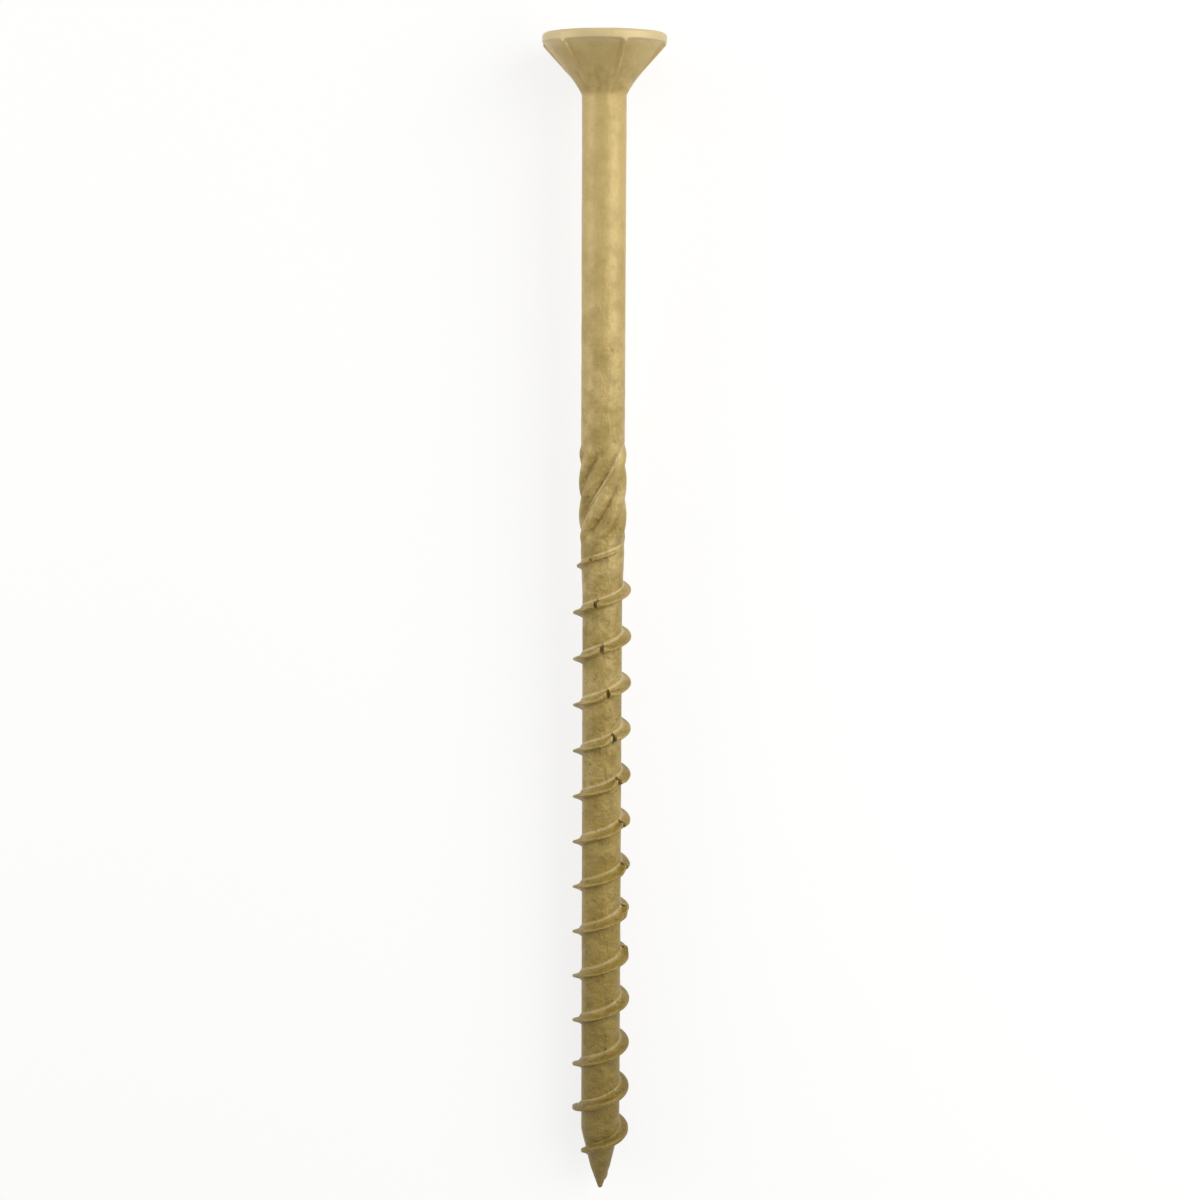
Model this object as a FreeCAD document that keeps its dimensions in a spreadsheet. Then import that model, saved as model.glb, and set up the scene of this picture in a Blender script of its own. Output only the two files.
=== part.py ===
import FreeCAD, Part
import math
import os
import Sketcher

# Countersunk wood screw, one cold-formed piece: flat head with milling ribs under it, plain shank,
# shank cutter, coarse notched thread and a sharp point.
#
# Own frame of the screw: the flat top of the head is z = 0 and the point is at +z. The side that
# comes to lie upwards is +y. Angles are measured about +z, from +x. The finished screw is then
# laid on its side, as it rests on a table: head rim and thread crests touch the table.

NODE = "countersunk_screw"

# Driving dimensions in millimetres, degrees and counts
SIZES = (
    # Head
    ("overall_length", 120.0),
    ("head_diameter", 12.3),
    ("rim_thickness", 1.22),
    ("rim_bevel", 0.25),
    ("countersink_angle", 86.0),
    ("cone_end_diameter", 7.02),
    # Milling ribs, left standing between shallow pockets under the head
    ("rib_count", 6),
    ("rib_span_angle", 5.2),
    ("pocket_turn", 41.0),
    ("pocket_depth", 0.42),
    ("pocket_top", 0.92),
    ("pocket_run_out", 0.75),
    # Drive recess with round lobes
    ("lobe_count", 6),
    ("lobe_circle", 5.6),
    ("valley_circle", 3.95),
    ("lobe_radius", 0.45),
    ("recess_depth", 3.0),
    ("recess_cone_angle", 120.0),
    # Neck and shank
    ("neck_radius", 7.70),
    ("shank_diameter", 4.42),
    # Shank cutter, which ends a little above the thread
    ("cutter_gap", 0.22),
    ("cutter_length", 10.65),
    ("cutter_starts", 6),
    ("cutter_lead", 20.1),
    ("cutter_diameter", 4.84),
    ("cutter_end_run", 0.7),
    ("cutter_turn", 18.5),
    ("cutter_groove_width", 0.35),
    # Thread, whose length counts from the very point
    ("thread_length", 68.93),
    ("thread_diameter", 6.0),
    ("thread_pitch", 4.84),
    ("thread_turn", 45.0),
    ("thread_fade", 4.83),
    ("thread_taper_length", 5.4),
    ("thread_bare_tip", 1.4),
    ("thread_root_width", 1.00),
    ("thread_crest_width", 0.22),
    ("thread_faded_width", 0.50),
    # Core under the thread, which starts a little below the thread's start
    ("core_diameter", 4.06),
    ("core_lead", 0.73),
    ("core_fade", 4.4),
    # Cutting notches across the thread
    ("notch_count", 9),
    ("notch_first_angle", 470.5),
    ("notch_step_angle", 345.5),
    ("notch_opening_angle", 60.0),
    ("notch_floor_diameter", 4.60),
    # Point, a long cone and a steeper one after its shoulder
    ("point_length", 6.7),
    ("point_shoulder_length", 2.45),
    ("point_shoulder_diameter", 2.08),
    ("point_tip_diameter", 0.50),
)

# Heights that follow from the driving dimensions
HALF_CONE = "tan(sizes.countersink_angle * 0.5 deg)"
CONE_WIDTH = "(sizes.head_diameter - sizes.cone_end_diameter) / 2"
CONE_END = f"(sizes.rim_thickness + {CONE_WIDTH} / {HALF_CONE})"
NECK_WIDTH = "(sizes.cone_end_diameter - sizes.shank_diameter) / 2"
NECK_LEAN = f"acos(cos(sizes.countersink_angle * 0.5 deg) + {NECK_WIDTH} / sizes.neck_radius)"
NECK_TURN = f"(sin(sizes.countersink_angle * 0.5 deg) - sin({NECK_LEAN}))"
NECK_END = f"({CONE_END} + sizes.neck_radius * {NECK_TURN})"
THREAD_START = "(sizes.overall_length - sizes.thread_length)"
THREAD_FULL = f"({THREAD_START} + sizes.thread_fade)"
THREAD_END = "(sizes.overall_length - sizes.thread_bare_tip)"
THREAD_TAPER = f"({THREAD_END} - sizes.thread_taper_length)"
CUTTER_END = f"({THREAD_START} - sizes.cutter_gap)"
CUTTER_START = f"({CUTTER_END} - sizes.cutter_length)"
CORE_START = f"({THREAD_START} + sizes.core_lead)"
CORE_FULL = f"({CORE_START} + sizes.core_fade)"
POINT_START = "(sizes.overall_length - sizes.point_length)"
POINT_SHOULDER = "(sizes.overall_length - sizes.point_shoulder_length)"

# Section of a cutter rib, as shares of its width along the axis and of its height
RAMP_START = -0.20
RAMP_SHOULDER = 0.35
RAMP_CREST = 0.90
RAMP_SHOULDER_HEIGHT = 0.75

STEPS_PER_TURN = 6      # stations on one turn of a helical guide line
SINK = 0.30             # depth to which a ridge reaches into the metal under it
HIDDEN = 0.10           # depth of the thread's crest under the surface where the thread ends
SKIN = 0.03             # distance from a surface that a cut or a ridge runs out on
AIR = 1.0               # length by which a cutting shape stands out of the metal
HOLLOW_GUESS = 1 / 15   # hollow of the neck arc, as a share of its chord, before it is made tangent
SAME = 1e-6             # two lengths closer than this are the same

doc = FreeCAD.newDocument(NODE)
sheet = doc.addObject("Spreadsheet::Sheet", "sizes")
for row, (alias, value) in enumerate(SIZES, start=1):
    sheet.set(f"A{row}", alias.replace("_", " "))
    sheet.set(f"B{row}", str(value))
    sheet.setAlias(f"B{row}", alias)
doc.recompute()


def size(alias):
    """The number that the sheet holds for a driving dimension."""
    return float(getattr(sheet, alias))


def worked_out(expression):
    """The number that an expression of driving dimensions gives."""
    return float(sheet.evalExpression(expression))


def point(radius, angle, z):
    """The point at a distance from the axis, an angle about it in degrees, and a height."""
    turn = math.radians(angle)
    return FreeCAD.Vector(radius * math.cos(turn), radius * math.sin(turn), z)


def between(value, low, high, at_low, at_high):
    """Straight-line change from at_low to at_high while value goes from low to high."""
    share = min(max((value - low) / (high - low), 0.0), 1.0)
    return at_low + share * (at_high - at_low)


# Sketch helpers


def new_sketch(body, name, role):
    """An empty sketch on one of the body's own base planes."""
    sketch = body.newObject("Sketcher::SketchObject", name)
    plane = next(item for item in body.Origin.OriginFeatures if item.Role == role)
    sketch.AttachmentSupport = [(plane, "")]
    sketch.MapMode = "FlatFace"
    return sketch


def corner_place(sketch, corner):
    """The place that a pair of expressions gives."""
    return FreeCAD.Vector(*(float(sketch.evalExpression(expression)) for expression in corner))


def pin(sketch, edge, end, corner):
    """Ties a point of a sketch to its two expressions."""
    for kind, axis, expression in zip(("DistanceX", "DistanceY"), (-2, -1), corner):
        if expression == "0":
            sketch.addConstraint(Sketcher.Constraint("PointOnObject", edge, end, axis))
        else:
            value = float(sketch.evalExpression(expression))
            index = sketch.addConstraint(Sketcher.Constraint(kind, -1, 1, edge, end, value))
            sketch.setExpression(f"Constraints[{index}]", expression)


def draw_outline(sketch, corners):
    """Closed chain of straight lines whose corners are pairs of expressions."""
    places = [corner_place(sketch, corner) for corner in corners]
    for index, place in enumerate(places):
        sketch.addGeometry(Part.LineSegment(place, places[(index + 1) % len(places)]), False)
    for index, corner in enumerate(corners):
        following = (index + 1) % len(corners)
        sketch.addConstraint(Sketcher.Constraint("Coincident", index, 2, following, 1))
        pin(sketch, index, 1, corner)


def revolve(body, kind, name, sketch):
    """A Revolution or Groove of a sketch about the screw's axis."""
    feature = body.newObject(kind, name)
    feature.Profile = sketch
    feature.ReferenceAxis = (sketch, ["V_Axis"])
    feature.Angle = 360.0
    feature.Refine = False
    return feature


# Blank: everything of the screw but its helical ridges


def draw_blank_section(body):
    """Half section of head, neck, shank, core and point."""
    sketch = new_sketch(body, "blank_section", "XZ_Plane")
    rim = ("sizes.head_diameter / 2", "sizes.rim_thickness")
    cone_end = ("sizes.cone_end_diameter / 2", CONE_END)
    corners = (
        ("sizes.shank_diameter / 2", NECK_END),
        ("sizes.shank_diameter / 2", CORE_START),
        ("sizes.core_diameter / 2", CORE_FULL),
        ("sizes.core_diameter / 2", POINT_START),
        ("sizes.point_shoulder_diameter / 2", POINT_SHOULDER),
        ("sizes.point_tip_diameter / 2", "sizes.overall_length"),
        ("0", "sizes.overall_length"),
        ("0", "0"),
        ("sizes.head_diameter / 2", "0"),
        rim,
        cone_end,
    )
    places = [corner_place(sketch, corner) for corner in corners]
    for start, end in zip(places, places[1:]):
        sketch.addGeometry(Part.LineSegment(start, end), False)
    cone_edge = len(places) - 2
    chord = places[0] - places[-1]
    hollow = FreeCAD.Vector(-chord.y, chord.x, 0) * HOLLOW_GUESS
    middle = (places[0] + places[-1]) * 0.5 + hollow
    neck_edge = sketch.addGeometry(Part.Arc(places[-1], middle, places[0]), False)
    for index in range(cone_edge):
        sketch.addConstraint(Sketcher.Constraint("Coincident", index, 2, index + 1, 1))
        pin(sketch, index, 1, corners[index])
    pin(sketch, cone_edge, 1, rim)
    pin(sketch, cone_edge, 2, cone_end)
    sketch.addConstraint(Sketcher.Constraint("Coincident", neck_edge, 1, 0, 1))
    sketch.addConstraint(Sketcher.Constraint("Tangent", cone_edge, 2, neck_edge, 2))
    return sketch


def bevel_rim(body, base):
    """Bevels the outer edge of the head's flat top."""
    rim_radius = size("head_diameter") / 2
    names = []
    for index, edge in enumerate(base.Shape.Edges, start=1):
        circle = edge.Curve
        if isinstance(circle, Part.Circle) and abs(circle.Radius - rim_radius) < SAME:
            if abs(circle.Center.z) < SAME:
                names.append(f"Edge{index}")
    bevel = body.newObject("PartDesign::Chamfer", "rim_bevel")
    bevel.Base = (base, names)
    bevel.setExpression("Size", "sizes.rim_bevel")
    return bevel


def cut_pockets(body):
    """Shallow pockets under the rim, which leave the milling ribs standing."""
    sketch = new_sketch(body, "pocket_section", "XZ_Plane")
    sketch.AttachmentOffset = FreeCAD.Placement(
        FreeCAD.Vector(), FreeCAD.Rotation(FreeCAD.Vector(0, 1, 0), size("pocket_turn")))
    sketch.setExpression("AttachmentOffset.Rotation.Angle", "sizes.pocket_turn")

    def cone_radius(level):
        return f"(sizes.head_diameter / 2 - ({level} - sizes.rim_thickness) * {HALF_CONE})"

    floor_end = f"({CONE_END} - sizes.pocket_run_out)"
    end_radius = "sizes.cone_end_diameter / 2"
    draw_outline(sketch, (
        (f"{cone_radius('sizes.pocket_top')} - sizes.pocket_depth", "sizes.pocket_top"),
        (f"{cone_radius(floor_end)} - sizes.pocket_depth", floor_end),
        (f"{end_radius} + {SKIN}", CONE_END),
        (f"{end_radius} + {AIR}", CONE_END),
        (f"sizes.head_diameter / 2 + {AIR}", "sizes.pocket_top"),
    ))
    pocket = revolve(body, "PartDesign::Groove", "pocket", sketch)
    pocket.Midplane = True
    pocket.setExpression("Angle", "360 / sizes.rib_count - sizes.rib_span_angle")
    return repeat_about_axis(body, pocket, sketch, "V_Axis", "rib_count")


def repeat_about_axis(body, feature, sketch, axis, count):
    """Copies a feature evenly about the screw's axis. count names a size."""
    pattern = body.newObject("PartDesign::PolarPattern", f"{feature.Name}_pattern")
    pattern.Originals = [feature]
    pattern.Axis = (sketch, [axis])
    pattern.Angle = 360.0
    pattern.Refine = False
    pattern.setExpression("Occurrences", f"sizes.{count}")
    body.Tip = pattern
    return pattern


def draw_lobe(body):
    """One lobe of the drive recess: a lobe arc with half a valley arc on each side of it."""
    sketch = new_sketch(body, "lobe_outline", "XY_Plane")
    half_step = math.pi / size("lobe_count")
    valley = size("valley_circle") / 2
    lobe_radius = size("lobe_radius")
    lobe_place = size("lobe_circle") / 2 - lobe_radius
    reach = lobe_place * math.cos(half_step)
    valley_radius = ((lobe_radius ** 2 - lobe_place ** 2 - valley ** 2 + 2 * valley * reach)
                     / (2 * (valley - reach - lobe_radius)))
    lobe_centre = FreeCAD.Vector(lobe_place, 0, 0)
    upper_direction = FreeCAD.Vector(math.cos(half_step), math.sin(half_step), 0)
    lower_direction = FreeCAD.Vector(math.cos(half_step), -math.sin(half_step), 0)

    def valley_arc(direction):
        centre = direction * (valley + valley_radius)
        touch = centre + (lobe_centre - centre).normalize() * valley_radius
        middle = centre + ((touch + direction * valley) * 0.5 - centre).normalize() * valley_radius
        return direction * valley, middle, touch

    lower_valley, lower_middle, lower_touch = valley_arc(lower_direction)
    upper_valley, upper_middle, upper_touch = valley_arc(upper_direction)
    centre = FreeCAD.Vector()
    sketch.addGeometry(Part.LineSegment(centre, lower_valley), False)
    sketch.addGeometry(Part.Arc(lower_valley, lower_middle, lower_touch), False)
    lobe_end = FreeCAD.Vector(lobe_place + lobe_radius, 0, 0)
    sketch.addGeometry(Part.Arc(lower_touch, lobe_end, upper_touch), False)
    sketch.addGeometry(Part.Arc(upper_touch, upper_middle, upper_valley), False)
    sketch.addGeometry(Part.LineSegment(upper_valley, centre), False)
    for constraint in (
        ("Coincident", 0, 1, -1, 1),
        ("Coincident", 0, 2, 1, 2),
        ("Tangent", 1, 1, 2, 1),
        ("Tangent", 2, 2, 3, 2),
        ("Coincident", 3, 1, 4, 1),
        ("Coincident", 4, 2, 0, 1),
        ("PointOnObject", 1, 3, 0),
        ("PointOnObject", 3, 3, 4),
        ("Symmetric", 0, 2, 4, 1, -1),
        ("PointOnObject", 2, 3, -1),
    ):
        sketch.addConstraint(Sketcher.Constraint(*constraint))
    half_step_expression = "(180 deg / sizes.lobe_count)"
    pin(sketch, 4, 1, (f"sizes.valley_circle / 2 * cos{half_step_expression}",
                       f"sizes.valley_circle / 2 * sin{half_step_expression}"))
    radius = sketch.addConstraint(Sketcher.Constraint("Radius", 2, lobe_radius))
    sketch.setExpression(f"Constraints[{radius}]", "sizes.lobe_radius")
    place = sketch.addConstraint(Sketcher.Constraint("DistanceX", -1, 1, 2, 3, lobe_place))
    sketch.setExpression(f"Constraints[{place}]", "sizes.lobe_circle / 2 - sizes.lobe_radius")
    return sketch


def cut_recess(body):
    """The drive recess with its cone bottom."""
    sketch = draw_lobe(body)
    lobe = body.newObject("PartDesign::Pocket", "lobe")
    lobe.Profile = sketch
    lobe.Reversed = True
    lobe.Refine = False
    lobe.setExpression("Length", "sizes.recess_depth")
    doc.recompute()
    repeat_about_axis(body, lobe, sketch, "N_Axis", "lobe_count")
    section = new_sketch(body, "recess_bottom_section", "XZ_Plane")
    draw_outline(section, (
        ("0", "sizes.recess_depth"),
        ("sizes.valley_circle / 2", "sizes.recess_depth"),
        ("0", "sizes.recess_depth + sizes.valley_circle / 2 / tan(sizes.recess_cone_angle * 0.5 deg)"),
    ))
    return revolve(body, "PartDesign::Groove", "recess_bottom", section)


def make_blank():
    """Head, neck, shank, core and point, with pockets and drive recess."""
    body = doc.addObject("PartDesign::Body", "blank")
    turned = revolve(body, "PartDesign::Revolution", "turned_blank", draw_blank_section(body))
    doc.recompute()
    bevel_rim(body, turned)
    doc.recompute()
    cut_pockets(body)
    doc.recompute()
    cut_recess(body)
    doc.recompute()
    return body


# Helical ridges


def surface_radius(z):
    """Radius of the blank at a height below the shank."""
    shank, core = size("shank_diameter") / 2, size("core_diameter") / 2
    point_start, point_shoulder = worked_out(POINT_START), worked_out(POINT_SHOULDER)
    if z < point_start:
        return between(z, worked_out(CORE_START), worked_out(CORE_FULL), shank, core)
    shoulder, tip = size("point_shoulder_diameter") / 2, size("point_tip_diameter") / 2
    if z < point_shoulder:
        return between(z, point_start, point_shoulder, core, shoulder)
    return between(z, point_shoulder, size("overall_length"), shoulder, tip)


def ruled_strip(one, other):
    """The ruled face between two guide curves that have the same knots."""
    surface = Part.BSplineSurface()
    surface.buildFromPolesMultsKnots(
        [one.getPoles(), other.getPoles()], [2, 2], one.getMultiplicities(),
        [0.0, 1.0], one.getKnots(), False, False, 1, one.Degree)
    return surface.toShape()


def helical_solid(angles, section):
    """A closed solid whose section at each angle is a ring of (radius, z) pairs."""
    sections = [[point(radius, angle, z) for radius, z in section(angle)] for angle in angles]
    guides = []
    for places in zip(*sections):
        guide = Part.BSplineCurve()
        guide.interpolate(Points=list(places), Parameters=angles)
        guides.append(guide)
    turn_ends = list(range(0, len(angles) - 1, STEPS_PER_TURN)) + [len(angles) - 1]
    faces = []
    for first, last in zip(turn_ends, turn_ends[1:]):
        pieces = []
        for guide in guides:
            piece = guide.copy()
            piece.segment(angles[first], angles[last])
            pieces.append(piece)
        faces += [ruled_strip(piece, pieces[index - 1]) for index, piece in enumerate(pieces)]
    for ring in (sections[0], sections[-1]):
        faces.append(Part.Face(Part.makePolygon(ring + ring[:1])))
    skin = Part.makeCompound(faces)
    skin.sewShape()
    solid = Part.makeSolid(skin.Shells[0])
    if solid.Volume < 0:
        solid.reverse()
    return solid


def stations_between(first, last):
    """Angles from first to last, at most one station step apart."""
    count = math.ceil((last - first) / 360.0 * STEPS_PER_TURN)
    return [first + (last - first) * index / count for index in range(count + 1)]


def thread_height(angle):
    """Height z of the middle of the thread at an angle that runs on from turn to turn."""
    return worked_out(THREAD_START) + size("thread_pitch") * (angle - size("thread_turn")) / 360.0


def thread_angle(z):
    """The angle at which the middle of the thread reaches a height."""
    return size("thread_turn") + 360.0 * (z - worked_out(THREAD_START)) / size("thread_pitch")


def thread_section(angle):
    """Section of the thread ridge, which grows out of the shank and runs out on the point."""
    z = thread_height(angle)
    core = surface_radius(z)
    full = size("thread_diameter") / 2
    taper, end = worked_out(THREAD_TAPER), worked_out(THREAD_END)
    if z < taper:
        start, fade_end = worked_out(THREAD_START), worked_out(THREAD_FULL)
        crest = between(z, start, fade_end, core - HIDDEN, full)
    else:
        crest = between(z, taper, end, full, surface_radius(end) - HIDDEN)
    full_height = full - size("core_diameter") / 2
    faded, whole = size("thread_faded_width") / 2, size("thread_root_width") / 2
    root = between(crest - core, 0.0, full_height, faded, whole)
    tip = root * size("thread_crest_width") / size("thread_root_width")
    foot = root + min(SINK * (root - tip) / max(crest - core, HIDDEN), root)
    return [(core - SINK, z - foot), (crest, z - tip), (crest, z + tip), (core - SINK, z + foot)]


def make_thread():
    """The thread as one ridge from the shank cutter to the point."""
    feature = doc.addObject("Part::Feature", "thread")
    angles = stations_between(size("thread_turn"), thread_angle(worked_out(THREAD_END)))
    feature.Shape = helical_solid(angles, thread_section)
    return feature


def make_cutter_ribs():
    """Helical ribs of the shank cutter, each trimmed to its length by an envelope."""
    starts, lead = int(size("cutter_starts")), size("cutter_lead")
    spacing = lead / starts
    width = spacing - size("cutter_groove_width")
    shank, crest = size("shank_diameter") / 2, size("cutter_diameter") / 2
    first = worked_out(CUTTER_START) - spacing
    turns = (size("cutter_length") + 2 * spacing) / lead
    profile = (
        (shank - SINK, RAMP_START * width),
        (shank + RAMP_SHOULDER_HEIGHT * (crest - shank), RAMP_SHOULDER * width),
        (crest, RAMP_CREST * width),
        (shank - SINK, width),
    )
    ribs = []
    for start in range(starts):
        turn = size("cutter_turn") + 360.0 * start / starts

        def rib_section(angle):
            z = first + lead * (angle - turn) / 360.0
            return [(radius, z + offset) for radius, offset in profile]

        ribs.append(helical_solid(stations_between(turn, turn + 360.0 * turns), rib_section))
    envelope = doc.addObject("PartDesign::Body", "cutter_envelope")
    sketch = new_sketch(envelope, "envelope_section", "XZ_Plane")
    low = f"sizes.shank_diameter / 2 - {2 * SINK}"
    surface = f"sizes.shank_diameter / 2 - {SKIN}"
    high = f"sizes.cutter_diameter / 2 + {SINK}"
    draw_outline(sketch, (
        (low, CUTTER_START),
        (surface, CUTTER_START),
        (high, f"{CUTTER_START} + sizes.cutter_end_run"),
        (high, f"{CUTTER_END} - sizes.cutter_end_run"),
        (surface, CUTTER_END),
        (low, CUTTER_END),
    ))
    revolve(envelope, "PartDesign::Revolution", "envelope", sketch)
    doc.recompute()
    features = []
    for rib in ribs:
        feature = doc.addObject("Part::Feature", "cutter_rib")
        feature.Shape = rib.common(envelope.Shape)
        features.append(feature)
    return features


def make_notches():
    """Wedges that cut the thread, each a little less than a turn after the one before."""
    floor = size("notch_floor_diameter") / 2
    outer = size("thread_diameter") / 2 + AIR
    half_opening = (outer - floor) * math.tan(math.radians(size("notch_opening_angle") / 2))
    half_length = size("thread_root_width")
    wedges = []
    for index in range(int(size("notch_count"))):
        angle = size("notch_first_angle") + index * size("notch_step_angle")
        wedge = Part.Face(Part.makePolygon([
            FreeCAD.Vector(floor, 0, -half_length),
            FreeCAD.Vector(outer, half_opening, -half_length),
            FreeCAD.Vector(outer, -half_opening, -half_length),
            FreeCAD.Vector(floor, 0, -half_length),
        ])).extrude(FreeCAD.Vector(0, 0, 2 * half_length))
        wedge.rotate(FreeCAD.Vector(), FreeCAD.Vector(0, 0, 1), angle)
        wedge.translate(FreeCAD.Vector(0, 0, thread_height(angle)))
        wedges.append(wedge)
    feature = doc.addObject("Part::Feature", "notch_wedges")
    feature.Shape = Part.makeCompound(wedges)
    return feature


def lay_down(screw):
    """Rests the screw on its side: head towards +Y, rim and lowest full thread crest on z = 0."""
    rim, crest = size("head_diameter") / 2, size("thread_diameter") / 2
    rim_contact = size("pocket_top")
    under_side = 270.0
    turns_down = math.floor((thread_angle(worked_out(THREAD_TAPER)) - under_side) / 360.0)
    crest_contact = thread_height(under_side + 360.0 * turns_down)
    tilt = math.degrees(math.atan2(rim - crest, crest_contact - rim_contact))
    turn = FreeCAD.Rotation(FreeCAD.Vector(1, 0, 0), 90.0 + tilt)
    lowest = turn.multVec(FreeCAD.Vector(0, -rim, rim_contact)).z
    head_end = turn.multVec(FreeCAD.Vector(0, -(rim - size("rim_bevel")), 0)).y
    point_end = turn.multVec(FreeCAD.Vector(0, size("point_tip_diameter") / 2, size("overall_length"))).y
    middle = (head_end + point_end) / 2
    screw.Placement = FreeCAD.Placement(FreeCAD.Vector(0, -middle, -lowest), turn)


def make_screw():
    """The whole screw: the blank, joined with one ridge after the other, cut by the notches."""
    whole = make_blank()
    for ridge in [make_thread()] + make_cutter_ribs():
        joined = doc.addObject("Part::Fuse", "joined")
        joined.Base = whole
        joined.Tool = ridge
        joined.Refine = False
        whole = joined
    screw = doc.addObject("Part::Cut", NODE)
    screw.Label = NODE
    screw.Base = whole
    screw.Tool = make_notches()
    screw.Refine = False
    doc.recompute()
    lay_down(screw)
    doc.recompute()
    return screw


screw = make_screw()
for item in doc.Objects:
    if "Invalid" in item.State or "Error" in item.State:
        raise RuntimeError(f"{item.Name} failed: {item.State}")
if screw.Shape.isNull() or not screw.Shape.isValid() or len(screw.Shape.Solids) != 1:
    raise RuntimeError("the screw isn't one valid solid")

os.makedirs("parts", exist_ok=True)
screw.Shape.exportStep(f"parts/{screw.Label}.step")
print(f"{screw.Label}: {screw.Shape.Volume:.1f} mm3, {len(screw.Shape.Faces)} faces")
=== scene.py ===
import math

import bpy
from mathutils import Matrix, Vector


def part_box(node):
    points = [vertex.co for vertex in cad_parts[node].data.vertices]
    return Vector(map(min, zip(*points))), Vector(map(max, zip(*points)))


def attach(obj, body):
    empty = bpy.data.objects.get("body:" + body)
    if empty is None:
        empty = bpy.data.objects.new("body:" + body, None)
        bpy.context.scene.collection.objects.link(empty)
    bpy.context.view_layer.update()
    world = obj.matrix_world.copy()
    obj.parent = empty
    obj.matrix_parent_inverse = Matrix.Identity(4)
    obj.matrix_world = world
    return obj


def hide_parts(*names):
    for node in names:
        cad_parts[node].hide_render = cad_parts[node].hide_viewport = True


# A coated countersunk wood screw, one cold-formed piece, lying on a white floor.
#
# The screw is modelled upright in its own frame and laid down at the end. In that frame the flat
# top of the head is z = 0 and the point is at +z, and +y is the side that comes to lie upwards.
# Angles run about +z from +x, and lengths are metres.

bl_info = {
    "name": "Countersunk wood screw",
    "version": (1, 0, 0),
    "blender": (4, 5, 0),
    "location": "3D View > Sidebar > Screw",
    "description": "Models a coated countersunk wood screw with a notched thread, and its stage",
    "category": "Add Mesh",
}

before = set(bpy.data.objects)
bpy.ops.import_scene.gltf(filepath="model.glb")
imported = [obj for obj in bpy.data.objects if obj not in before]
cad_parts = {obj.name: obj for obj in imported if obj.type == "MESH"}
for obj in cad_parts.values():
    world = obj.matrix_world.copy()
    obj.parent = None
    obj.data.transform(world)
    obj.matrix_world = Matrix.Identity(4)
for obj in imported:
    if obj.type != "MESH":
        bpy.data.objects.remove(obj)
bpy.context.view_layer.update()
NODE = "countersunk_screw"
NODE_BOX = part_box(NODE)

MM = 0.001
FULL_TURN = 2.0 * math.pi
WELD = 0.001 * MM


def length(name, millimetres, description):
    """A length property, given in millimetres and kept in metres."""
    return bpy.props.FloatProperty(
        name=name, description=description, default=millimetres * MM, min=0.0, unit="LENGTH", precision=5)


def angle(name, degrees, description):
    """An angle property, given in degrees and kept in radians."""
    return bpy.props.FloatProperty(
        name=name, description=description, default=math.radians(degrees), unit="ROTATION")


def count(name, number, description):
    return bpy.props.IntProperty(name=name, description=description, default=number, min=1)


def factor(name, value, description):
    return bpy.props.FloatProperty(name=name, description=description, default=value)


def colour(name, value, description):
    return bpy.props.FloatVectorProperty(
        name=name, description=description, default=value, size=3, subtype="COLOR", min=0.0, max=1.0)


class BlankSizes(bpy.types.PropertyGroup):
    """Sizes of the head, shank, core and point."""
    overall_length: length("Overall length", 120.0, "From the flat top of the head to the point")
    head_diameter: length("Head diameter", 12.3, "Across the rim")
    rim_thickness: length("Rim thickness", 1.22, "Height of the rim's side")
    rim_rounding: length("Rim rounding", 0.36, "Radius of the rim's upper edge")
    rim_lower_rounding: length("Lower rim rounding", 0.22, "Radius where the rim meets the cone")
    countersink_angle: angle("Countersink angle", 86.0, "Whole angle of the cone under the head")
    cone_end_diameter: length("Cone end diameter", 7.02, "Across the end of the cone")
    neck_radius: length("Neck radius", 7.70, "Radius of the hollow between cone and shank")
    shank_diameter: length("Shank diameter", 4.42, "Across the plain shank")
    core_diameter: length("Core diameter", 4.06, "Across the metal under the thread")
    core_start: length("Core start", 51.8, "Where the shank starts to narrow to the core")
    core_full: length("Core end of the taper", 56.2, "Where the core has its own diameter")
    point_start: length("Point start", 113.3, "Where the core starts to narrow to the point")
    point_shoulder: length("Point shoulder", 117.55, "Where the point gets steeper")
    point_shoulder_diameter: length("Point shoulder diameter", 2.08, "Across the point at its shoulder")
    point_tip_diameter: length("Point tip diameter", 0.56, "Across the rounded end of the point")


class HeadCutSizes(bpy.types.PropertyGroup):
    """Sizes of the pockets under the rim and of the drive recess."""
    rib_count: count("Rib count", 6, "Milling ribs under the head")
    first_pocket: angle("First pocket", 41.0, "Angle of the middle of one pocket")
    pocket_depth: length("Pocket depth", 0.42, "Depth of a pocket below the ribs")
    pocket_top: length("Pocket top", 0.92, "Where the pockets start under the rim")
    pocket_fade: length("Pocket fade", 3.2, "Where the pockets start to run out into the neck")
    pocket_end: length("Pocket end", 5.3, "Where the pockets have run out into the neck")
    pocket_lean: factor("Pocket lean", 0.8235, "How fast a pocket's floor nears the axis, per height")
    pocket_corner: length("Pocket corner", 0.45, "Radius of a pocket's upper corners")
    pocket_wall: length("Pocket wall", 0.22, "Width over which a pocket's wall falls to its floor")
    rib_width: length("Rib width", 0.34, "Width of a milling rib")
    lobe_count: count("Lobe count", 6, "Lobes of the drive recess")
    lobe_circle: length("Lobe circle", 5.6, "Across the outside of the lobes")
    valley_circle: length("Valley circle", 3.95, "Across the valleys between the lobes")
    lobe_radius: length("Lobe radius", 0.45, "Radius of one lobe")
    recess_depth: length("Recess depth", 3.0, "Depth of the recess to the start of its cone bottom")
    recess_chamfer: length("Recess chamfer", 0.12, "Bevel round the mouth of the recess")


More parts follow.
